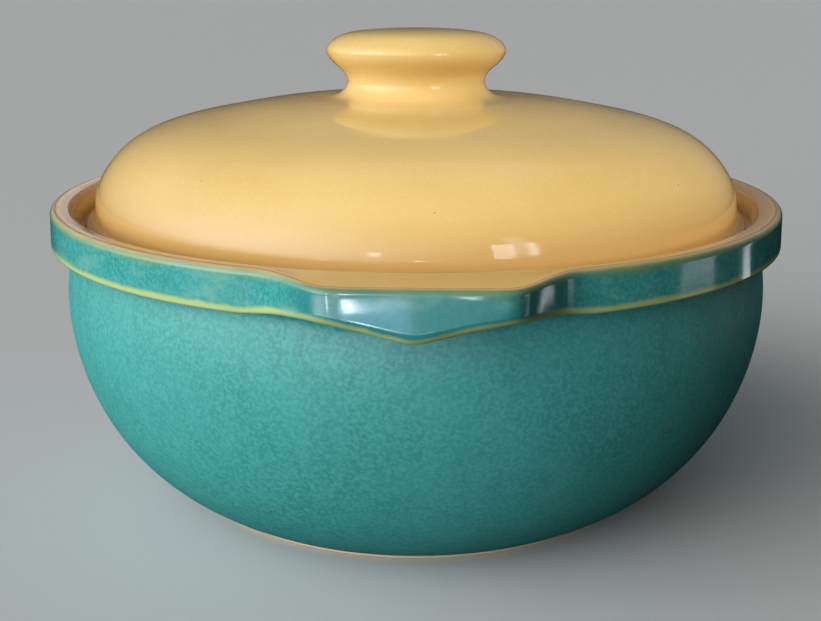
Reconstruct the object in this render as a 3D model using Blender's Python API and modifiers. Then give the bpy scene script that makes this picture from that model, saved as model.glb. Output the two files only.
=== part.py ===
"""Covered casserole dish: a round stoneware bowl with two lugs, and a domed lid with a knob.

The axis of the dish is +Z and its foot rests on z = 0. The lugs are at -Y (front) and +Y
(back). The lid rests on a ledge inside the rim, and lifts off along +Z.
"""

import math

import bmesh
import bpy

MM = 0.001

# Driving dimensions, in millimetres.
RIM_RADIUS = 126.3          # outside of the rim collar
RIM_TOP = 103.3             # top of the rim above the table
COLLAR_BOTTOM = 90.7        # sharp lower edge of the rim collar
COLLAR_CORNER = 1.9         # rounding of the collar's top edge
COLLAR_LEAN = 0.3           # the collar's face leans in this much towards its top
BODY_TOP_RADIUS = 120.2     # the wall just under the collar
BELLY_RADIUS = 121.9        # the widest part of the wall
FOOT_RADIUS = 81.0          # outside of the foot ring
FOOT_RING_WIDTH = 8.0
FOOT_RECESS = 4.0           # how far the base is raised inside the foot ring
FLOOR_TOP = 10.5            # inside floor of the bowl
GALLERY_RADIUS = 117.3      # upright wall round the lid's seat
LEDGE_TOP = 94.5            # the ledge that carries the lid
LEDGE_INNER_RADIUS = 108.4
RIM_FLAT_INNER = 118.9      # inner edge of the rim top
RIM_FALL = 0.5              # the rim top falls this much from its crest towards the lid

JOINT_GAP = 0.3             # gap kept between pieces that touch

FLANGE_RADIUS = 114.6       # the lid's seating flange
FLANGE_TOP = 97.9
DOME_RADIUS = 111.4         # the lid's upright side
CROWN_TOP = 136.7           # flat seat under the knob
KNOB_BASE_RADIUS = 28.6
KNOB_WAIST_RADIUS = 24.0
KNOB_HEAD_RADIUS = 31.1
KNOB_TOP = 160.1

LUG_FRONT = 140.0           # straight front edge of a lug's top, from the axis
LUG_LOWER_FRONT = 141.0     # lower edge of the lug's face, which leans out
LUG_KEEL = 2.0              # the middle of the lower edge stands out this much further
LUG_TOP_DROP = 0.2          # the lug's top lies this far under the rim top
LUG_FLAT_HALF = 25.7        # half width of the straight front edge
LUG_SHOULDER = 11.8         # width of the sloping shoulder from there to the rim circle
LUG_KNEE_SOFTNESS = 0.12    # rounding of the shoulder's start, as a share of its width
LUG_TOE_SOFTNESS = 0.34     # rounding of the shoulder's end
LUG_FADE_START = 36.0
LUG_END_HALF = 48.0         # where the last of the lug runs into the rim circle
LUG_END_RISE = 3.1          # the lower edge is this far above the collar's at the lug's corners
LUG_POINT_DEPTH = 4.9       # how far the middle of the lower edge dips from there
LUG_POINT_HALF = 25.0       # half width of that dip
LUG_POINT_ROUNDING = 3.0
LUG_POINT_POWER = 1.4
LUG_TOP_EDGE = 1.5          # rounding of the lug's top edge
LUG_LOWER_EDGE = 2.6        # rounding of the lug's lower edge
LUG_LEAN_DEGREES = 18.0     # the lug's face leans out this far from upright
LUG_SINK = 0.6              # how far the lug's ends lie inside the collar
LUG_ROOT_RADIUS = 122.0     # the lug's back, inside the rim
LUG_ROOT_INSET = 3.0        # how far the lug's lower back lies inside the wall
LUG_ROOT_HEIGHT = 4.0
LUG_STATIONS = 32

BOWL_STEPS = 64
LID_STEPS = 60
KNOB_STEPS = 40


def smooth_curve(points, per_span):
    """Points of a Catmull-Rom curve through the given (radius, height) points."""
    ends = [points[0]] + list(points) + [points[-1]]
    curve = []
    for i in range(1, len(ends) - 2):
        before, start, end, after = ends[i - 1:i + 3]
        for step in range(per_span):
            t = step / per_span
            curve.append(tuple(
                0.5 * (2 * start[k] + (end[k] - before[k]) * t
                       + (2 * before[k] - 5 * start[k] + 4 * end[k] - after[k]) * t ** 2
                       + (3 * start[k] - before[k] - 3 * end[k] + after[k]) * t ** 3)
                for k in range(2)))
    curve.append(points[-1])
    return curve


def arc(centre, radius, first_degrees, last_degrees, count):
    """Points of an arc in the profile plane; 0 degrees points outwards, 90 up."""
    points = []
    for i in range(count):
        angle = math.radians(first_degrees + (last_degrees - first_degrees) * i / (count - 1))
        points.append((centre[0] + radius * math.cos(angle), centre[1] + radius * math.sin(angle)))
    return points


def glaze_material(name, colour, roughness):
    material = bpy.data.materials.new(name)
    material.use_nodes = True
    shader = material.node_tree.nodes["Principled BSDF"]
    shader.inputs["Base Color"].default_value = (*colour, 1.0)
    shader.inputs["Roughness"].default_value = roughness
    shader.inputs["Metallic"].default_value = 0.0
    return material


def turned_piece(name, profile, steps, material, collection):
    """A closed turned body from a profile in millimetres that starts and ends on the axis."""
    mesh = bpy.data.meshes.new(name)
    vertices = [(radius * MM, 0.0, height * MM) for radius, height in profile]
    edges = [(i, i + 1) for i in range(len(vertices) - 1)]
    mesh.from_pydata(vertices, edges, [])
    mesh.materials.append(material)
    piece = bpy.data.objects.new(name, mesh)
    collection.objects.link(piece)
    screw = piece.modifiers.new("Turn", "SCREW")
    screw.axis = "Z"
    screw.steps = steps
    screw.render_steps = steps
    screw.use_merge_vertices = True
    screw.merge_threshold = 0.00001
    screw.use_smooth_shade = True
    return piece


def bowl_profile():
    """Inside floor, inner wall, ledge, rim, collar, outer wall, foot ring, base."""
    inner_wall = smooth_curve(
        [(0.0, FLOOR_TOP), (40.0, FLOOR_TOP), (68.0, 12.0), (90.0, 20.5), (104.5, 37.0),
         (112.0, 57.0), (113.8, 74.0), (111.0, 86.0), (LEDGE_INNER_RADIUS, 92.5)], 2)
    outer_wall = smooth_curve(
        [(BODY_TOP_RADIUS, COLLAR_BOTTOM - 1.3), (BELLY_RADIUS, 74.0), (117.8, 46.0),
         (104.2, 20.2), (FOOT_RADIUS + 1.6, 2.0)], 3)
    ledge = [(LEDGE_INNER_RADIUS + 0.4, LEDGE_TOP - 0.4), (LEDGE_INNER_RADIUS + 1.2, LEDGE_TOP),
             (GALLERY_RADIUS - 1.0, LEDGE_TOP), (GALLERY_RADIUS, LEDGE_TOP + 1.0)]
    rim_inner = RIM_TOP - RIM_FALL
    rim = [(GALLERY_RADIUS + 0.9, rim_inner - 1.4), (RIM_FLAT_INNER, rim_inner - 0.4),
           (RIM_FLAT_INNER + 0.9, rim_inner), (RIM_FLAT_INNER + 3.6, RIM_TOP)]
    corner_centre = (RIM_RADIUS - COLLAR_LEAN - COLLAR_CORNER, RIM_TOP - COLLAR_CORNER)
    corner = arc(corner_centre, COLLAR_CORNER, 90.0, 0.0, 4)
    collar = [(RIM_RADIUS, COLLAR_BOTTOM + 0.8), (RIM_RADIUS - 0.5, COLLAR_BOTTOM),
              (BODY_TOP_RADIUS + 1.2, COLLAR_BOTTOM)]
    foot_inner = FOOT_RADIUS - FOOT_RING_WIDTH
    foot = [(FOOT_RADIUS, 1.5), (FOOT_RADIUS, 0.0), (foot_inner, 0.0),
            (foot_inner - 1.5, FOOT_RECESS), (0.0, FOOT_RECESS)]
    return inner_wall + ledge + rim + corner + collar + outer_wall + foot


def smooth_step(value):
    t = min(max(value, 0.0), 1.0)
    return t * t * (3.0 - 2.0 * t)


def soft_hinge(value, softness):
    """0 below 0 and value above it, rounded over softness."""
    return 0.5 * (value + math.hypot(value, softness))


def lug_blend(x):
    """1 along the lug's straight front, then a crisp knee, a sloping shoulder and a slow toe."""
    along = (abs(x) - LUG_FLAT_HALF) / LUG_SHOULDER
    fall = soft_hinge(along, LUG_KNEE_SOFTNESS) - soft_hinge(along - 1.0, LUG_TOE_SOFTNESS)
    fade = 1.0 - smooth_step((abs(x) - LUG_FADE_START) / (LUG_END_HALF - LUG_FADE_START))
    return max(1.0 - fall, 0.0) * fade


def lug_dip(x):
    """1 at the middle of the lug, falling to 0 on each side from a blunt point."""
    along = (math.hypot(x, LUG_POINT_ROUNDING) - LUG_POINT_ROUNDING) / LUG_POINT_HALF
    return max(1.0 - along, 0.0) ** LUG_POINT_POWER


def lug_outline(x, reach):
    """Distance of the lug's edge from the XZ plane: straight, then in to the rim circle."""
    circle = math.sqrt((RIM_RADIUS - LUG_SINK) ** 2 - x * x)
    return circle + (reach - circle) * lug_blend(x)


def lug_lower_height(x):
    """The lower edge rises towards the lug's corners and dips to a blunt point in the middle."""
    return (COLLAR_BOTTOM + LUG_SINK + LUG_END_RISE * math.sqrt(lug_blend(x))
            - LUG_POINT_DEPTH * lug_dip(x))


def lug_section(x):
    """One section of the lug in the plane of constant x, from the top's back edge round."""
    top = RIM_TOP - LUG_TOP_DROP
    front = lug_outline(x, LUG_FRONT)
    lower = lug_outline(x, LUG_LOWER_FRONT + LUG_KEEL * lug_dip(x))
    bottom = lug_lower_height(x)
    root = math.sqrt(LUG_ROOT_RADIUS ** 2 - x * x)
    root_low = math.sqrt((BODY_TOP_RADIUS - LUG_ROOT_INSET) ** 2 - x * x)
    section = [(root, top)]
    section += arc((front - LUG_TOP_EDGE, top - LUG_TOP_EDGE), LUG_TOP_EDGE,
                   90.0, LUG_LEAN_DEGREES, 4)
    section += arc((lower - LUG_LOWER_EDGE, bottom + LUG_LOWER_EDGE), LUG_LOWER_EDGE,
                   LUG_LEAN_DEGREES, -90.0, 6)
    section += [(root_low, bottom), (root_low, bottom + LUG_ROOT_HEIGHT)]
    return [(x, -distance, height) for distance, height in section]


def lug_mesh():
    """A closed loft through the lug's sections."""
    shape = bmesh.new()
    rings = []
    for i in range(LUG_STATIONS + 1):
        x = LUG_END_HALF * (2.0 * i / LUG_STATIONS - 1.0)
        rings.append([shape.verts.new([c * MM for c in point]) for point in lug_section(x)])
    count = len(rings[0])
    for left, right in zip(rings, rings[1:]):
        for i in range(count):
            j = (i + 1) % count
            shape.faces.new((left[i], right[i], right[j], left[j]))
    shape.faces.new(list(reversed(rings[-1])))
    shape.faces.new(rings[0])
    bmesh.ops.triangulate(shape, faces=shape.faces[:])
    bmesh.ops.recalc_face_normals(shape, faces=shape.faces[:])
    mesh = bpy.data.meshes.new("lug")
    shape.to_mesh(mesh)
    shape.free()
    return mesh


def add_lugs(bowl, helpers):
    """Join a lug to the bowl at the front and at the back."""
    mesh = lug_mesh()
    for name, turn in (("lug_front", 0.0), ("lug_back", math.pi)):
        lug = bpy.data.objects.new(name, mesh)
        lug.rotation_euler.z = turn
        lug.hide_render = True
        lug.display_type = "WIRE"
        helpers.objects.link(lug)
        union = bowl.modifiers.new(name, "BOOLEAN")
        union.operation = "UNION"
        union.solver = "EXACT"
        union.object = lug


def lid_profile():
    """Crown, dome, upright side, flange, seat and the hollow underside."""
    flange_bottom = LEDGE_TOP + JOINT_GAP
    crown = [(0.0, CROWN_TOP), (KNOB_BASE_RADIUS + 1.5, CROWN_TOP)]
    dome = smooth_curve(
        [(38.0, 136.5), (52.0, 135.2), (70.0, 132.1), (88.0, 127.9), (102.0, 119.9),
         (DOME_RADIUS - 0.8, 107.6),
         (DOME_RADIUS, FLANGE_TOP + 1.4)], 3)
    fillet = [(DOME_RADIUS + 0.5, FLANGE_TOP + 0.4), (DOME_RADIUS + 1.5, FLANGE_TOP)]
    flange = [(FLANGE_RADIUS - 0.7, FLANGE_TOP), (FLANGE_RADIUS, FLANGE_TOP - 0.7),
              (FLANGE_RADIUS, flange_bottom + 0.7), (FLANGE_RADIUS - 0.7, flange_bottom),
              (106.0, flange_bottom), (104.8, flange_bottom + 1.2)]
    inside = smooth_curve(
        [(104.8, 103.0), (102.0, 110.0), (94.0, 118.0), (80.0, 123.6), (50.0, 128.2),
         (0.0, 129.6)], 2)
    return crown + dome + fillet + flange + inside


def knob_profile():
    """A domed top, a rounded head, a waist, and a base that flares onto the crown."""
    base = CROWN_TOP + JOINT_GAP
    outline = smooth_curve(
        [(0.0, KNOB_TOP), (12.0, 159.9), (21.0, 159.1), (27.4, 157.2), (KNOB_HEAD_RADIUS, 152.9),
         (28.4, 148.4), (25.0, 145.2), (KNOB_WAIST_RADIUS, 142.2), (25.1, 139.6),
         (KNOB_BASE_RADIUS, base + 0.5)], 2)
    return outline + [(KNOB_BASE_RADIUS, base), (0.0, base)]


def main():
    for stale in list(bpy.data.objects):
        bpy.data.objects.remove(stale, do_unlink=True)
    parts = bpy.data.collections.new("covered_casserole_dish")
    helpers = bpy.data.collections.new("lug_shapes")
    bpy.context.scene.collection.children.link(parts)
    bpy.context.scene.collection.children.link(helpers)

    teal = glaze_material("teal_glaze", (0.035, 0.200, 0.170), 0.28)
    yellow = glaze_material("yellow_glaze", (0.690, 0.400, 0.130), 0.15)
    knob_yellow = glaze_material("knob_yellow_glaze", (0.700, 0.420, 0.140), 0.15)

    bowl = turned_piece("bowl", bowl_profile(), BOWL_STEPS, teal, parts)
    add_lugs(bowl, helpers)
    turned_piece("lid", lid_profile(), LID_STEPS, yellow, parts)
    turned_piece("lid_knob", knob_profile(), KNOB_STEPS, knob_yellow, parts)


main()
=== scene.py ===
"""Looks of the covered casserole dish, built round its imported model.

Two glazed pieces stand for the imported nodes: the bowl with its lugs, and the lid with its knob.
Each is a dense mesh on the design's own dimensions. Vertex attributes hold distances, in
millimetres, from the glaze's edges, and the materials paint the glaze from them.
"""

import math

import bpy
import numpy as np
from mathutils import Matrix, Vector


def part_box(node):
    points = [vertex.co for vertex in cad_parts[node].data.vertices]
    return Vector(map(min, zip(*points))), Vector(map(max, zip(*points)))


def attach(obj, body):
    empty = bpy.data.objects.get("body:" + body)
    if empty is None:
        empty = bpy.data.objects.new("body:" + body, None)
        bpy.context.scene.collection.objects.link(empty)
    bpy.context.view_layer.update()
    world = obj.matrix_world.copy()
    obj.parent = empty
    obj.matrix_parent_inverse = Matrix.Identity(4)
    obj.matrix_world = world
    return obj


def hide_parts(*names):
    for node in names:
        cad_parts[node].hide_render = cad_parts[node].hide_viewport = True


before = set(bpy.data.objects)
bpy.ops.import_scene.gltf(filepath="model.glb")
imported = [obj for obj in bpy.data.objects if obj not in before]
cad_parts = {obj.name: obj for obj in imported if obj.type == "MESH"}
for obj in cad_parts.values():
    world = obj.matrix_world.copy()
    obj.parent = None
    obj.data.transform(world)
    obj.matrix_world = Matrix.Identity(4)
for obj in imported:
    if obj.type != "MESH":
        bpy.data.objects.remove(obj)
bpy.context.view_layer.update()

MM = 0.001

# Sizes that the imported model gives, in millimetres.
bowl_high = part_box("bowl")[1] / MM
lid_low, lid_high = (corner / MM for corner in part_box("lid"))
knob_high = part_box("lid_knob")[1] / MM
RIM_RADIUS = bowl_high.x
RIM_TOP = bowl_high.z
LUG_LOWER_REACH = bowl_high.y
FLANGE_BOTTOM = lid_low.z
FLANGE_RADIUS = lid_high.x
KNOB_RADIUS = knob_high.x
KNOB_TOP = knob_high.z

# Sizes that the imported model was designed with, in millimetres, and a few finer ones.
COLLAR_BOTTOM = 90.7
BODY_TOP_RADIUS = 120.2
BELLY_RADIUS = 121.9
FOOT_RADIUS = 81.0
FOOT_RING_WIDTH = 8.0
FOOT_RECESS = 4.0
FLOOR_TOP = 10.5
GALLERY_RADIUS = 117.3
LEDGE_TOP = 94.5
LEDGE_INNER_RADIUS = 108.4
RIM_FLAT_INNER = 118.9
RIM_CORNER = 1.9            # rounding of the rim's outer corner
LUG_CORNER = 1.5            # the same on the lug
COLLAR_EDGE = 0.9           # rounding of the collar's lower edge
LUG_EDGE = 3.0              # the same on the lug
RIM_FALL = 0.5              # the rim's top falls this much from its crest towards the lid
FLANGE_TOP = 97.9
DOME_RADIUS = 111.4
LUG_TOP_REACH = LUG_LOWER_REACH - 3.0
LUG_KEEL = 2.0              # the middle of the lower edge stands out this much
LUG_SKEW = 0.035            # the straight front edge is a little out of square
LUG_FLAT_HALF = 25.7        # half width of the straight front edge
LUG_SHOULDER = 11.8         # width of the sloping shoulder from there to the rim circle
LUG_FADE_START = 36.0       # the rest of the lug starts to fade out at this half width
LUG_FADE_HALF = 48.0        # nothing of the lug is left beyond this
LUG_HALF_TURN = 24.0        # degrees round the rim that hold half a lug
LUG_END_RISE = 3.7          # the lug's lower edge starts this much above the collar's
LUG_POINT_DEPTH = 4.9
LUG_POINT_HALF = 25.0
LUG_POINT_SHIFT = -1.2      # the point of the lower edge is a little off the middle
LUG_POINT_ROUNDING = 3.0
LUG_DISH = 0.2              # the lug's face is pressed in by this much


# ---------------------------------------------------------------- outlines

def spline(points, count):
    """count points, evenly spread, of a natural cubic spline through the given points."""
    points = np.array(points, float)
    chords = np.linalg.norm(np.diff(points, axis=0), axis=1)
    knots = np.concatenate([[0.0], np.cumsum(chords)])
    n = len(points)
    system = np.eye(n)
    right = np.zeros((n, 2))
    for i in range(1, n - 1):
        system[i, i - 1:i + 2] = chords[i - 1], 2.0 * (chords[i - 1] + chords[i]), chords[i]
        slope_after = (points[i + 1] - points[i]) / chords[i]
        slope_before = (points[i] - points[i - 1]) / chords[i - 1]
        right[i] = 6.0 * (slope_after - slope_before)
    bend = np.linalg.solve(system, right)
    along = np.linspace(0.0, knots[-1], count)
    span = np.clip(np.searchsorted(knots, along, "right") - 1, 0, n - 2)
    step = chords[span][:, None]
    a = (knots[span + 1] - along)[:, None]
    b = (along - knots[span])[:, None]
    return (bend[span] * a ** 3 / (6.0 * step) + bend[span + 1] * b ** 3 / (6.0 * step)
            + (points[span] / step - bend[span] * step / 6.0) * a
            + (points[span + 1] / step - bend[span + 1] * step / 6.0) * b)


def arc(centre, radius, first_degrees, last_degrees, count):
    """Points of an arc in the profile plane; 0 degrees points outwards, 90 up."""
    angle = np.radians(np.linspace(first_degrees, last_degrees, count))
    return np.stack([centre[0] + radius * np.cos(angle), centre[1] + radius * np.sin(angle)], 1)


def line(start, end, count):
    """count points from start to end, both left out."""
    t = np.linspace(0.0, 1.0, count + 2)[1:-1, None]
    return np.array(start) * (1.0 - t) + np.array(end) * t


def smooth_step(value):
    t = np.clip(value, 0.0, 1.0)
    return t * t * (3.0 - 2.0 * t)


# ---------------------------------------------------------------- lug plan

def soft_hinge(value, softness):
    """0 below 0 and value above it, rounded over softness."""
    return 0.5 * (value + np.sqrt(value ** 2 + softness ** 2))


def lug_blend(x):
    """1 along the lug's straight front, a round knee, a sloping shoulder, and a slow toe to 0."""
    along = (np.abs(x) - LUG_FLAT_HALF) / LUG_SHOULDER
    knee = 0.30
    toe = 0.40
    fall = soft_hinge(along, knee) - soft_hinge(along - 1.0, toe)
    fade = 1.0 - smooth_step((np.abs(x) - LUG_FADE_START) / (LUG_FADE_HALF - LUG_FADE_START))
    return np.clip(1.0 - fall, 0.0, 1.0) * fade


def lug_dip(x):
    """1 at the point of the lug's lower edge, and 0 from its ends outwards."""
    from_point = np.hypot(x - LUG_POINT_SHIFT, LUG_POINT_ROUNDING) - LUG_POINT_ROUNDING
    along = from_point / LUG_POINT_HALF
    return np.clip(1.0 - along, 0.0, 1.0) ** 1.4


def outline_radius(turn, circle_radius, reach, keel):
    """Radius of the rim's outline at an angle from the lug's middle: a circle that swells into the
    lug's straight front edge. Found by halving, because the lug is designed across, not round."""
    low = np.full_like(turn, circle_radius - 1.0)
    high = np.full_like(turn, reach / 0.9)
    for _ in range(40):
        middle = 0.5 * (low + high)
        x = middle * np.sin(turn)
        circle = np.sqrt(np.maximum(circle_radius ** 2 - x ** 2, 0.0))
        front = reach + LUG_SKEW * x + keel * lug_dip(x)
        edge = circle + (front - circle) * lug_blend(x)
        inside = middle * np.cos(turn) < edge
        low = np.where(inside, middle, low)
        high = np.where(inside, high, middle)
    return 0.5 * (low + high)


# ---------------------------------------------------------------- meshes

def grid_mesh(name, radius, height, turns, attributes):
    """A closed body from a grid of profile points (columns) round the axis.
    The first and last points of every profile lie on the axis and become single vertices."""
    columns, rows = radius.shape
    inner = slice(1, rows - 1)
    x = radius[:, inner] * np.sin(turns)[:, None]
    y = -radius[:, inner] * np.cos(turns)[:, None]
    grid = np.stack([x, y, height[:, inner]], 2).reshape(-1, 3)
    poles = [[0.0, 0.0, height[0, 0]], [0.0, 0.0, height[0, -1]]]
    vertices = np.concatenate([grid, poles]) * MM
    wide = rows - 2
    first_pole = columns * wide
    last_pole = first_pole + 1
    faces = []
    for i in range(columns):
        here = i * wide
        there = ((i + 1) % columns) * wide
        faces.append((first_pole, here, there))
        faces.extend((here + j, here + j + 1, there + j + 1, there + j) for j in range(wide - 1))
        faces.append((last_pole, there + wide - 1, here + wide - 1))
    mesh = bpy.data.meshes.new(name)
    mesh.from_pydata(vertices.tolist(), [], faces)
    mesh.shade_smooth()
    for key, values in attributes.items():
        flat = np.concatenate([values[:, inner].reshape(-1), values[0, :1], values[0, -1:]])
        layer = mesh.attributes.new(key, "FLOAT", "POINT")
        layer.data.foreach_set("value", flat.astype(np.float32))
    piece = bpy.data.objects.new(name, mesh)
    bpy.context.scene.collection.objects.link(piece)
    return piece


def arc_length(radius, height):
    """Distance along each profile from its first point."""
    steps = np.hypot(np.diff(radius, axis=1), np.diff(height, axis=1))
    return np.concatenate([np.zeros((len(radius), 1)), np.cumsum(steps, axis=1)], 1)


def column_turns():
    """Angles round the bowl, close together across the two lugs."""
    lug = np.radians(LUG_HALF_TURN)
    side = np.pi - 2.0 * lug
    half = np.concatenate([np.linspace(-lug, lug, 160, endpoint=False),
                           lug + np.linspace(0.0, side, 100, endpoint=False)])
    return np.concatenate([half, half + np.pi])


# ---------------------------------------------------------------- bowl

def make_bowl():
    turns = column_turns()
    # Angle from the middle of the nearer lug.
    local = (turns + 0.5 * np.pi) % np.pi - 0.5 * np.pi
    top = outline_radius(local, RIM_RADIUS - 0.3, LUG_TOP_REACH, 0.0)
    low = outline_radius(local, RIM_RADIUS, LUG_LOWER_REACH - LUG_KEEL, LUG_KEEL)
    across = low * np.sin(local)
    lugness = lug_blend(across)
    bottom = (COLLAR_BOTTOM + LUG_END_RISE * np.sqrt(lugness)
              - LUG_POINT_DEPTH * lug_dip(across))

    inner_wall = spline(
        [(0.0, FLOOR_TOP), (40.0, FLOOR_TOP), (68.0, 12.2), (90.0, 21.0), (104.5, 37.0),
         (112.0, 57.0), (113.6, 74.0), (111.2, 86.0), (LEDGE_INNER_RADIUS, 92.3)], 44)
    ledge = np.concatenate([
        arc((LEDGE_INNER_RADIUS + 1.4, LEDGE_TOP - 1.4), 1.4, 170.0, 90.0, 6),
        line((LEDGE_INNER_RADIUS + 1.4, LEDGE_TOP), (GALLERY_RADIUS - 1.5, LEDGE_TOP), 3),
        arc((GALLERY_RADIUS - 1.5, LEDGE_TOP + 1.5), 1.5, -90.0, -8.0, 6),
        line((GALLERY_RADIUS, LEDGE_TOP + 1.6), (GALLERY_RADIUS + 0.9, RIM_TOP - 2.6), 4),
        arc((RIM_FLAT_INNER + 1.0, RIM_TOP - RIM_FALL - 1.6), 1.6, 175.0, 95.0, 7)])
    body = spline(
        [(BODY_TOP_RADIUS, 89.6), (BELLY_RADIUS, 75.0), (117.9, 46.0), (104.4, 20.4),
         (FOOT_RADIUS + 4.0, 3.3), (FOOT_RADIUS + 1.3, 1.7)], 56)
    foot_inner = FOOT_RADIUS - FOOT_RING_WIDTH
    foot = np.concatenate([
        [(FOOT_RADIUS + 0.5, 1.5)],
        arc((FOOT_RADIUS - 0.5, 0.6), 0.6, 40.0, -90.0, 5),
        line((FOOT_RADIUS - 0.5, 0.0), (foot_inner + 0.8, 0.0), 4),
        arc((foot_inner + 0.8, 0.8), 0.8, -90.0, -170.0, 4),
        arc((foot_inner - 3.0, FOOT_RECESS - 1.8), 1.8, 10.0, 90.0, 6),
        line((foot_inner - 3.0, FOOT_RECESS), (0.0, FOOT_RECESS), 12),
        [(0.0, FOOT_RECESS)]])

    # The columns differ only in the rim's section, and in the wall above this height.
    shaped_wall_bottom = 62.0
    columns = []
    for i in range(len(turns)):
        section, brown_row, arris_row = rim_section(
            top[i], low[i], bottom[i], lugness[i], across[i])
        wall = body.copy()
        # The wall starts under the shelf's fillet, wherever that is at this column.
        shaped_height = wall[0, 1] - shaped_wall_bottom
        reach = np.clip((wall[:, 1] - shaped_wall_bottom) / shaped_height, 0.0, 1.0)
        wall += (section[-1] - wall[0]) * (reach ** 2)[:, None]
        columns.append(np.concatenate([inner_wall, ledge, section, wall[1:], foot]))
    grid = np.array(columns)
    radius, height = grid[:, :, 0], grid[:, :, 1]
    along = arc_length(radius, height)
    # The marked rows are the same in every column's section.
    section_start = len(inner_wall) + len(ledge)
    brown_row += section_start
    arris_row += section_start
    foot_row = radius.shape[1] - len(foot)
    # Glossy down to the collar's sharp lower edge, and satin below it.
    gloss = np.zeros_like(radius)
    gloss[:, :arris_row + 1] = 1.0
    return grid_mesh("bowl_glazed", radius, height, turns, {
        "from_brown": along - along[:, [brown_row]],
        "from_arris": along - along[:, [arris_row]],
        "from_foot": along - along[:, [foot_row]],
        "gloss": gloss,
        "lugness": np.repeat(lugness[:, None], radius.shape[1], 1)})


def rim_section(top, low, bottom, lugness, across):
    """One column from the rim's flat top over the outer face to the wall under the shelf.
    Returns its points, and the rows of the brown line and the sharp lower edge."""
    corner = RIM_CORNER + (LUG_CORNER - RIM_CORNER) * lugness
    round_low = COLLAR_EDGE + (LUG_EDGE - COLLAR_EDGE) * lugness
    upper = np.array([top - corner, RIM_TOP - corner])
    lower = np.array([low - round_low, bottom + round_low])
    run = lower - upper
    lean = math.degrees(math.atan2(run[0], -run[1]))
    flat = line((RIM_FLAT_INNER + 0.9, RIM_TOP), (top - corner, RIM_TOP), 14)
    # The rim's top is highest near its outer edge, and falls a little towards the lid.
    crest = top - corner - 1.0
    fall_width = 5.0
    from_crest = np.clip((crest - flat[:, 0]) / fall_width, 0.0, 1.0)
    flat[:, 1] -= RIM_FALL * smooth_step(from_crest) * (1.0 - lugness)
    over = arc(upper, corner, 90.0, lean, 9)
    under = arc(lower, round_low, lean, -62.0, 11)
    face = line(over[-1], under[0], 18)
    dish_half = 27.0
    press = LUG_DISH * lugness * np.clip(1.0 - (across / dish_half) ** 4, 0.0, 1.0)
    face[:, 0] -= press * np.sin(np.linspace(0.0, np.pi, len(face) + 2))[1:-1] ** 0.8
    fillet = 1.6 + 2.2 * lugness
    shelf_height = COLLAR_BOTTOM - 0.4 - 0.6 * lugness
    wall_top = np.array([BODY_TOP_RADIUS, shelf_height - fillet])
    shelf = line(under[-1], (BODY_TOP_RADIUS + fillet, wall_top[1] + fillet), 8)
    inward = arc((BODY_TOP_RADIUS + fillet, wall_top[1]), fillet, 90.0, 180.0, 8)
    section = np.concatenate([flat, over, face, under, shelf, inward])
    brown_row = len(flat) - 1
    arris_row = len(flat) + len(over) + len(face) + len(under) - 1
    return section, brown_row, arris_row


# ---------------------------------------------------------------- lid

def make_lid():
    outer = spline(
        [(0.0, KNOB_TOP), (12.0, KNOB_TOP - 0.2), (21.0, KNOB_TOP - 1.0), (27.4, 157.2),
         (KNOB_RADIUS, 152.9), (28.4, 148.4), (25.0, 145.2), (24.0, 142.2), (25.1, 139.6),
         (28.4, 137.5), (32.0, 136.95), (36.0, 136.75), (44.0, 136.1), (52.0, 135.2),
         (61.0, 133.8), (70.0, 132.1), (86.0, 128.5), (98.0, 123.2), (106.0, 115.8),
         (110.5, 107.6), (DOME_RADIUS, FLANGE_TOP + 2.2)], 200)
    seat_inner = 106.3
    fillet = arc((DOME_RADIUS + 1.8, FLANGE_TOP + 1.8), 1.8, 180.0, 265.0, 8)[1:]
    flange_upper = arc((FLANGE_RADIUS - 1.1, FLANGE_TOP - 1.1), 1.1, 90.0, 0.0, 7)
    flange_lower = arc((FLANGE_RADIUS - 0.9, FLANGE_BOTTOM + 0.9), 0.9, 0.0, -90.0, 6)
    seat = line((FLANGE_RADIUS - 0.9, FLANGE_BOTTOM), (seat_inner, FLANGE_BOTTOM), 5)
    inner_edge = arc((seat_inner, FLANGE_BOTTOM + 1.5), 1.5, -90.0, -175.0, 6)
    inside = spline(
        [(104.8, 99.0), (104.0, 105.0), (101.0, 111.5), (94.0, 118.0), (80.0, 123.4),
         (50.0, 128.2), (20.0, 129.5), (0.0, 129.6)], 50)
    profile = np.concatenate(
        [outer, fillet, flange_upper, flange_lower, seat, inner_edge, inside])
    flange_row = len(outer) + len(fillet)
    seat_row = flange_row + len(flange_upper) + len(flange_lower)
    turns = np.linspace(0.0, 2.0 * np.pi, 288, endpoint=False)
    radius = np.repeat(profile[None, :, 0], len(turns), 0)
    height = np.repeat(profile[None, :, 1], len(turns), 0)
    along = arc_length(radius, height)
    return grid_mesh("lid_with_knob_glazed", radius, height, turns, {
        "from_seat": along - along[:, [seat_row]],
        "from_flange": along - along[:, [flange_row]]})


# ---------------------------------------------------------------- materials

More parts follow.
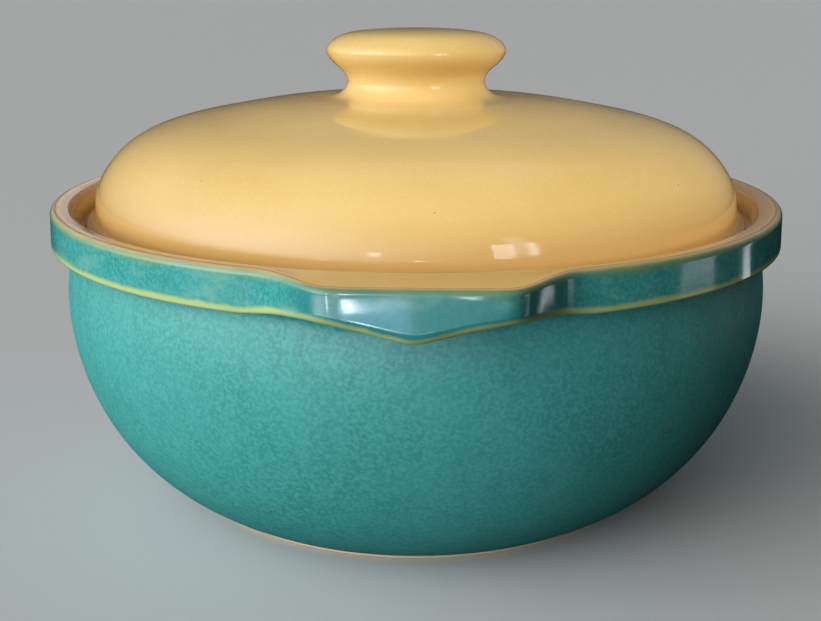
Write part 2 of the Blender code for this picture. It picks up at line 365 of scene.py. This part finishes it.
class Nodes:
    """Short calls for a material's node tree."""

    def __init__(self, name):
        self.material = bpy.data.materials.new(name)
        self.material.use_nodes = True
        self.tree = self.material.node_tree
        self.shader = self.tree.nodes["Principled BSDF"]

    def add(self, kind, **settings):
        node = self.tree.nodes.new(kind)
        for key, value in settings.items():
            setattr(node, key, value)
        return node

    def feed(self, socket, value):
        if isinstance(value, bpy.types.NodeSocket):
            self.tree.links.new(value, socket)
        else:
            socket.default_value = value

    def attribute(self, name):
        return self.add("ShaderNodeAttribute", attribute_name=name).outputs["Fac"]

    def place(self, stretch=(1.0, 1.0, 1.0)):
        """Object coordinates in millimetres, scaled by stretch."""
        where = self.add("ShaderNodeTexCoord").outputs["Object"]
        mapping = self.add("ShaderNodeMapping")
        self.feed(mapping.inputs["Vector"], where)
        mapping.inputs["Scale"].default_value = [s / MM for s in stretch]
        return mapping.outputs["Vector"]

    def noise(self, where, size, detail=2.0, roughness=0.5):
        """Noise from 0 to 1 with features about size millimetres wide."""
        node = self.add("ShaderNodeTexNoise")
        self.feed(node.inputs["Vector"], where)
        node.inputs["Scale"].default_value = 1.0 / size
        node.inputs["Detail"].default_value = detail
        node.inputs["Roughness"].default_value = roughness
        return node.outputs["Fac"]

    def specks(self, where, pitch, size, share):
        """1 inside round specks about size millimetres wide, on a share of the cells."""
        node = self.add("ShaderNodeTexVoronoi")
        self.feed(node.inputs["Vector"], where)
        node.inputs["Scale"].default_value = 1.0 / pitch
        inside = self.math("LESS_THAN", node.outputs["Distance"], 0.5 * size / pitch)
        split = self.add("ShaderNodeSeparateColor")
        self.feed(split.inputs[0], node.outputs["Color"])
        chosen = self.math("LESS_THAN", split.outputs[0], share)
        return self.math("MULTIPLY", inside, chosen)

    def math(self, operation, a, b=0.0, c=0.0):
        node = self.add("ShaderNodeMath", operation=operation)
        for socket, value in zip(node.inputs, (a, b, c)):
            self.feed(socket, value)
        return node.outputs[0]

    def ramp(self, value, low, high, out_low=0.0, out_high=1.0, smooth=True):
        """value mapped from low..high to out_low..out_high, held at the ends."""
        node = self.add("ShaderNodeMapRange")
        node.interpolation_type = "SMOOTHSTEP" if smooth else "LINEAR"
        for key, v in (("Value", value), ("From Min", low), ("From Max", high),
                       ("To Min", out_low), ("To Max", out_high)):
            self.feed(node.inputs[key], v)
        return node.outputs["Result"]

    def band(self, value, centre, half, soft):
        """1 within half of centre, fading to 0 over soft."""
        away = self.math("ABSOLUTE", self.math("SUBTRACT", value, centre))
        return self.ramp(away, half, half + soft, 1.0, 0.0)

    def mix(self, share, a, b, blend="MIX"):
        node = self.add("ShaderNodeMix", data_type="RGBA", blend_type=blend)
        self.feed(node.inputs["Factor"], share)
        self.feed(node.inputs[6], (*a, 1.0) if isinstance(a, tuple) else a)
        self.feed(node.inputs[7], (*b, 1.0) if isinstance(b, tuple) else b)
        return node.outputs[2]

    def bump(self, height, distance, strength=1.0, normal=None):
        """A bump whose height of 1 stands distance millimetres proud."""
        node = self.add("ShaderNodeBump")
        node.inputs["Strength"].default_value = strength
        node.inputs["Distance"].default_value = distance * MM
        self.feed(node.inputs["Height"], height)
        if normal is not None:
            self.feed(node.inputs["Normal"], normal)
        return node.outputs["Normal"]


YELLOW = (0.715, 0.495, 0.178)
YELLOW_DEEP = (0.665, 0.430, 0.130)
YELLOW_PALE = (0.765, 0.585, 0.280)
RIM_YELLOW = (0.860, 0.560, 0.195)
RIM_TAN = (0.610, 0.380, 0.180)
# painted shade on the lid's steep side, under the bowl's rim
SIDE_SHADE_TAN = (0.520, 0.310, 0.100)
BROWN = (0.270, 0.120, 0.050)
CREAM = (0.640, 0.480, 0.260)
OLIVE = (0.200, 0.310, 0.120)
BREAK_GREEN = (0.520, 0.600, 0.190)
TEAL = (0.043, 0.315, 0.286)
TEAL_DEEP = (0.028, 0.236, 0.213)
TEAL_PALE = (0.082, 0.418, 0.388)
HAZE = (0.200, 0.440, 0.360)
TEAL_THICK = (0.020, 0.190, 0.190)
TEAL_SPECK = (0.300, 0.520, 0.450)
IRON_SPECK = (0.240, 0.110, 0.035)
IRON_SPOT = (0.120, 0.060, 0.025)
BARE_CLAY = (0.560, 0.450, 0.300)
GLAZE_IOR = 1.52


def yellow_colour(n, where):
    """The yellow glaze: cloudy, with a fine pale grain and a few brown iron specks."""
    cloudy = n.ramp(n.noise(where, 45.0, 2.0), 0.30, 0.70, 0.0, 0.55)
    colour = n.mix(cloudy, YELLOW, YELLOW_DEEP)
    fine = n.ramp(n.noise(where, 1.6, 3.0, 0.6), 0.42, 0.72, 0.0, 0.22)
    colour = n.mix(fine, colour, YELLOW_PALE)
    specks = n.math("MULTIPLY", n.specks(where, 4.2, 0.55, 0.12), 0.55)
    colour = n.mix(specks, colour, IRON_SPECK)
    spots = n.math("MULTIPLY", n.specks(where, 11.0, 0.9, 0.10), 0.5)
    return n.mix(spots, colour, IRON_SPOT)


def glaze_surface(n, where, ripple, pits, peel_share=0.35):
    """Slow ripples of the poured glaze, and a fine orange peel with pinholes.
    ripple and pits are heights in millimetres; peel_share scales the peel."""
    slow = n.bump(n.noise(where, 26.0, 1.0), ripple)
    peel = n.bump(n.math("MULTIPLY", n.noise(where, 1.7, 2.0), peel_share), 0.030, 1.0, slow)
    return n.bump(n.math("SUBTRACT", 1.0, n.specks(where, 6.5, 0.5, 0.12)), pits, 1.0, peel)


def yellow_material():
    n = Nodes("yellow_glaze")
    where = n.place()
    colour = yellow_colour(n, where)
    # Painted shade browns the lid down its steep side, where the bowl's rim shades it. The glaze is
    # thin over the flange's edge and wiped off the seat.
    low = n.ramp(n.attribute("from_flange"), -24.0, -5.0, 0.0, 0.80)
    colour = n.mix(low, colour, SIDE_SHADE_TAN)
    edge = n.band(n.attribute("from_flange"), 1.0, 0.5, 1.2)
    colour = n.mix(n.math("MULTIPLY", edge, 0.5), colour, RIM_TAN)
    seat = n.band(n.attribute("from_seat"), 3.5, 3.0, 0.6)
    colour = n.mix(seat, colour, BARE_CLAY)
    n.feed(n.shader.inputs["Base Color"], colour)
    worn = n.ramp(n.noise(where, 14.0, 3.0), 0.35, 0.75, 0.055, 0.12)
    n.feed(n.shader.inputs["Roughness"], n.ramp(seat, 0.0, 1.0, worn, 0.75, smooth=False))
    n.shader.inputs["IOR"].default_value = GLAZE_IOR
    n.feed(n.shader.inputs["Normal"], glaze_surface(n, where, 0.14, 0.02))
    return n.material


def bowl_material():
    n = Nodes("bowl_glaze")
    where = n.place()
    streaks = n.place((1.0, 1.0, 0.28))
    yellow = n.mix(0.5, yellow_colour(n, where), RIM_YELLOW)
    waver = n.ramp(n.noise(where, 7.0, 3.0), 0.2, 0.8, -0.45, 0.45, smooth=False)
    from_brown = n.math("ADD", n.attribute("from_brown"), n.math("MULTIPLY", waver, 0.5))
    from_arris = n.math("ADD", n.attribute("from_arris"), waver)
    from_foot = n.attribute("from_foot")

    # Teal, mottled and faintly streaked downwards, with pale specks.
    mottle = n.ramp(n.noise(streaks, 5.0, 4.0, 0.62), 0.25, 0.75, 0.25, 1.0)
    teal = n.mix(mottle, TEAL_DEEP, TEAL)
    broad = n.ramp(n.noise(where, 46.0, 2.0), 0.35, 0.70, 0.0, 0.25)
    teal = n.mix(broad, teal, TEAL_PALE)
    grain = n.ramp(n.noise(where, 1.2, 2.0, 0.6), 0.38, 0.66, 0.0, 0.70)
    teal = n.mix(grain, teal, TEAL_PALE)
    teal = n.mix(n.math("MULTIPLY", n.specks(where, 6.5, 0.6, 0.12), 0.6), teal, TEAL_SPECK)
    # The glaze lies thicker and darker on the lugs, and paler smudges haze the collar.
    lugness = n.attribute("lugness")
    thick = n.math("MULTIPLY", n.ramp(lugness, 0.1, 0.8, 0.0, 0.75), n.attribute("gloss"))
    teal = n.mix(thick, teal, TEAL_THICK)
    haze = n.ramp(n.noise(n.place((1.0, 1.0, 2.0)), 15.0, 3.0, 0.55), 0.50, 0.74, 0.0, 0.55)
    teal = n.mix(n.math("MULTIPLY", haze, n.attribute("gloss")), teal, HAZE)

    # Where the teal begins, below the rim's brown line: cream, then olive, then teal.
    smudge = n.ramp(n.noise(where, 16.0, 2.0, 0.4), 0.30, 0.70, -0.7, 0.7, smooth=False)
    fade = n.ramp(n.math("ADD", from_brown, smudge), 1.4, 4.8)
    outside = n.mix(fade, OLIVE, teal)
    outside = n.mix(n.ramp(from_brown, 0.9, 2.4, 0.95, 0.0), outside, CREAM)
    # The glaze breaks yellow-green over the sharp lower edge.
    broken = n.band(from_arris, -1.0, 0.4, 1.5)
    outside = n.mix(n.math("MULTIPLY", broken, 0.80), outside, BREAK_GREEN)

    # Inside and rim top: yellow, browner where the glaze thins over the rim, with a painted
    # highlight along its crest.
    rim_tan_and_crest_highlight = n.ramp(from_brown, -8.0, -5.0, 0.0, 0.8)
    # Painted highlight: less tan along the rim's crest, just inside the brown line.
    rim_tan_and_crest_highlight = n.math("MULTIPLY", rim_tan_and_crest_highlight, n.ramp(from_brown, -1.8, -0.8, 1.0, 0.45))
    rim_tan_and_crest_highlight = n.math("MULTIPLY", rim_tan_and_crest_highlight, n.ramp(lugness, 0.1, 0.6, 1.0, 0.0))
    inside = n.mix(rim_tan_and_crest_highlight, yellow, RIM_TAN)
    colour = n.mix(n.ramp(from_brown, 0.0, 0.9), inside, outside)
    brown = n.band(from_brown, 0.15, 0.20, 0.40)
    colour = n.mix(n.math("MULTIPLY", brown, 0.60), colour, BROWN)
    # The foot ring is bare.
    bare = n.math("MULTIPLY", n.ramp(from_foot, -1.1, -0.5), n.ramp(from_foot, 11.5, 12.5, 1.0, 0.0))
    colour = n.mix(bare, colour, BARE_CLAY)
    n.feed(n.shader.inputs["Base Color"], colour)

    # The collar and lugs are glossier than the wall.
    satin = n.ramp(n.noise(where, 5.0, 3.0), 0.3, 0.7, 0.42, 0.52)
    shine = n.ramp(n.noise(where, 12.0, 3.0), 0.3, 0.7, 0.07, 0.14)
    rough = n.ramp(n.attribute("gloss"), 0.0, 1.0, satin, shine, smooth=False)
    n.feed(n.shader.inputs["Roughness"], n.ramp(bare, 0.0, 1.0, rough, 0.8, smooth=False))
    n.shader.inputs["IOR"].default_value = GLAZE_IOR
    peel_share = n.ramp(n.attribute("gloss"), 0.0, 1.0, 1.0, 0.25, smooth=False)
    n.feed(n.shader.inputs["Normal"], glaze_surface(n, where, 0.30, 0.03, peel_share))
    return n.material


def plain_material(name, colour, roughness):
    n = Nodes(name)
    n.shader.inputs["Base Color"].default_value = (*colour, 1.0)
    n.shader.inputs["Roughness"].default_value = roughness
    return n.material


# ---------------------------------------------------------------- studio

FLOOR_SIZE = 240.0          # metres
FLOOR_COLOUR = (0.70, 0.70, 0.69)
BACKDROP = (0.386, 0.389, 0.389)
DAYLIGHT = (0.85, 0.92, 1.0)
PANEL_DISTANCE = 2.4        # metres from the dish's axis
PANEL_AIM = 0.09            # the panels face this height on the axis
AMBIENT = 0.03

# The room's soft glows: azimuth and elevation in degrees, focus, strength.
GLOWS = [
    (-58.0, 8.0, 5.0, 4.4),
    (-14.0, 8.0, 8.0, 1.12),
    (-98.0, 10.0, 8.0, 0.8),
    (-60.0, 42.0, 8.0, 0.72),
    (-140.0, 30.0, 6.0, 0.18),
    (145.0, 24.0, 6.0, 0.20),
]

# Panels: name, azimuth and elevation in degrees, width and height in metres, radiance, colour.
# Windows show in the glaze as reflections, and give no other light.
LID_WINDOWS = [
    ("window_left", -13.0, 6.0, 0.16, 0.24, 7.0, DAYLIGHT),
    ("window_right_pane", 28.0, 8.0, 0.28, 0.90, 5.5, DAYLIGHT),
    ("window_right_middle", 33.0, 16.0, 0.26, 1.20, 1.8, DAYLIGHT),
    ("window_right_side", 38.0, 9.0, 0.11, 0.80, 9.0, DAYLIGHT),
    ("ceiling_panel", 180.0, 66.0, 2.4, 1.3, 0.25, (1.0, 0.98, 0.95)),
]
BOWL_WINDOWS = [
    ("side_low_pane", 88.0, -9.0, 0.60, 0.24, 1.5, DAYLIGHT),
    ("side_low_edge", 114.0, -9.0, 0.16, 0.30, 2.6, DAYLIGHT),
    ("back_left_sky", -163.0, 12.0, 0.30, 0.35, 0.6, (1.0, 0.96, 0.98)),
    ("front_sky", -11.0, 19.0, 0.50, 0.75, 3.8, (0.36, 0.60, 1.0)),
    ("front_pane", -12.0, 13.0, 0.16, 0.45, 30.0, DAYLIGHT),
    ("front_low_edge", -16.0, -3.0, 0.30, 0.24, 12.0, DAYLIGHT),
    ("front_knee_edge", -30.0, 6.0, 0.12, 0.50, 14.0, DAYLIGHT),
    ("front_right_pane", 1.0, 3.0, 0.14, 0.25, 12.0, DAYLIGHT),
]
# Fills give soft light, and don't show in the glaze.
BOWL_FILLS = [
    ("low_left_fill", -52.0, -3.0, 1.4, 0.6, 5.5, (0.95, 0.95, 1.0)),
    ("back_fill", 152.0, 14.0, 1.5, 1.0, 7.0, DAYLIGHT),
]
LID_FILLS = [
    ("lid_left_fill", -64.0, 10.0, 1.5, 1.0, 2.4, (0.93, 1.0, 1.0)),
    ("lid_fill", 64.0, 22.0, 1.5, 1.5, 6.9, (1.0, 0.97, 0.93)),
]

CAMERA_LENS = 52.6          # millimetres
CAMERA_PLACE = (-0.0020, -0.4250, 0.1785)
CAMERA_DOWN = 15.72         # degrees below level
CAMERA_ROLL = -0.10         # degrees


def add_floor():
    mesh = bpy.data.meshes.new("floor")
    half = 0.5 * FLOOR_SIZE
    mesh.from_pydata([(-half, -half, 0), (half, -half, 0), (half, half, 0), (-half, half, 0)], [],
                     [(0, 1, 2, 3)])
    mesh.materials.append(plain_material("floor_pale", FLOOR_COLOUR, 0.7))
    floor = bpy.data.objects.new("floor", mesh)
    bpy.context.scene.collection.objects.link(floor)
    # The dish stands on a dark shelf in life, so this pale floor neither lights it nor shows in it.
    floor.visible_diffuse = False
    floor.visible_glossy = False
    floor.visible_shadow = False


def add_panel(piece, name, azimuth, elevation, width, height, radiance, colour):
    """A rectangular light that faces the dish and lights only the given piece.
    Azimuth 0 is in front (-Y), and 90 is to the right (+X)."""
    lamp = bpy.data.lights.new(name, "AREA")
    lamp.shape = "RECTANGLE"
    lamp.size = width
    lamp.size_y = height
    lamp.energy = radiance * math.pi * width * height
    lamp.color = colour
    holder = bpy.data.objects.new(name, lamp)
    turn, lift = math.radians(azimuth), math.radians(elevation)
    holder.location = (PANEL_DISTANCE * math.cos(lift) * math.sin(turn),
                       -PANEL_DISTANCE * math.cos(lift) * math.cos(turn),
                       PANEL_AIM + PANEL_DISTANCE * math.sin(lift))
    holder.rotation_euler = (math.pi / 2 - lift, 0.0, turn)
    bpy.context.scene.collection.objects.link(holder)
    receivers = bpy.data.collections.new(name + "_lights")
    receivers.objects.link(piece)
    holder.light_linking.receiver_collection = receivers
    return holder


def add_panels(bowl, lid):
    for piece, windows in ((lid, LID_WINDOWS), (bowl, BOWL_WINDOWS)):
        for settings in windows:
            add_panel(piece, *settings).visible_diffuse = False
    for piece, fills in ((bowl, BOWL_FILLS), (lid, LID_FILLS)):
        for settings in fills:
            add_panel(piece, *settings).visible_glossy = False


def add_world():
    """A dim room with a few broad, soft glows, most of them in front on the left."""
    world = bpy.data.worlds.new("studio")
    world.use_nodes = True
    tree = world.node_tree
    direction = tree.nodes.new("ShaderNodeTexCoord").outputs["Generated"]

    def math_node(operation, a, b):
        node = tree.nodes.new("ShaderNodeMath")
        node.operation = operation
        for socket, value in zip(node.inputs, (a, b)):
            if isinstance(value, bpy.types.NodeSocket):
                tree.links.new(value, socket)
            else:
                socket.default_value = value
        return node.outputs[0]

    def glow(azimuth, elevation, focus, strength):
        """Light that is strongest from one direction; a higher focus makes it narrower."""
        turn, lift = math.radians(azimuth), math.radians(elevation)
        facing = tree.nodes.new("ShaderNodeVectorMath")
        facing.operation = "DOT_PRODUCT"
        tree.links.new(direction, facing.inputs[0])
        facing.inputs[1].default_value = (math.cos(lift) * math.sin(turn),
                                          -math.cos(lift) * math.cos(turn), math.sin(lift))
        towards = math_node("MAXIMUM", facing.outputs["Value"], 0.0)
        return math_node("MULTIPLY", math_node("POWER", towards, focus), strength)

    light = AMBIENT
    for settings in GLOWS:
        light = math_node("ADD", light, glow(*settings))
    # Little light comes from below the horizon.
    split = tree.nodes.new("ShaderNodeSeparateXYZ")
    tree.links.new(direction, split.inputs[0])
    horizon = tree.nodes.new("ShaderNodeMapRange")
    horizon.interpolation_type = "SMOOTHSTEP"
    for key, value in (("From Min", -0.12), ("From Max", 0.03), ("To Min", 0.06)):
        horizon.inputs[key].default_value = value
    tree.links.new(split.outputs["Z"], horizon.inputs["Value"])
    light = math_node("MULTIPLY", light, horizon.outputs["Result"])
    background = tree.nodes["Background"]
    background.inputs["Color"].default_value = (0.97, 0.98, 1.0, 1.0)
    tree.links.new(light, background.inputs["Strength"])
    # Past the floor's far edge the camera sees a plain backdrop, which gives no light.
    plain = tree.nodes.new("ShaderNodeBackground")
    plain.inputs["Color"].default_value = (*BACKDROP, 1.0)
    seen = tree.nodes.new("ShaderNodeLightPath").outputs["Is Camera Ray"]
    choose = tree.nodes.new("ShaderNodeMixShader")
    tree.links.new(seen, choose.inputs[0])
    tree.links.new(background.outputs[0], choose.inputs[1])
    tree.links.new(plain.outputs[0], choose.inputs[2])
    tree.links.new(choose.outputs[0], tree.nodes["World Output"].inputs["Surface"])
    bpy.context.scene.world = world


def add_camera():
    camera = bpy.data.cameras.new("camera")
    camera.sensor_width = 36.0
    camera.lens = CAMERA_LENS
    holder = bpy.data.objects.new("camera", camera)
    holder.location = CAMERA_PLACE
    holder.rotation_euler = (math.radians(90.0 - CAMERA_DOWN), math.radians(CAMERA_ROLL), 0.0)
    bpy.context.scene.collection.objects.link(holder)
    bpy.context.scene.camera = holder


def main():
    bowl = make_bowl()
    bowl.data.materials.append(bowl_material())
    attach(bowl, "bowl")
    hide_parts("bowl")

    lid = make_lid()
    lid.data.materials.append(yellow_material())
    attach(lid, "lid")
    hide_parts("lid", "lid_knob")

    add_floor()
    add_world()
    add_panels(bowl, lid)
    add_camera()
    bpy.context.scene.view_settings.view_transform = "Standard"


main()
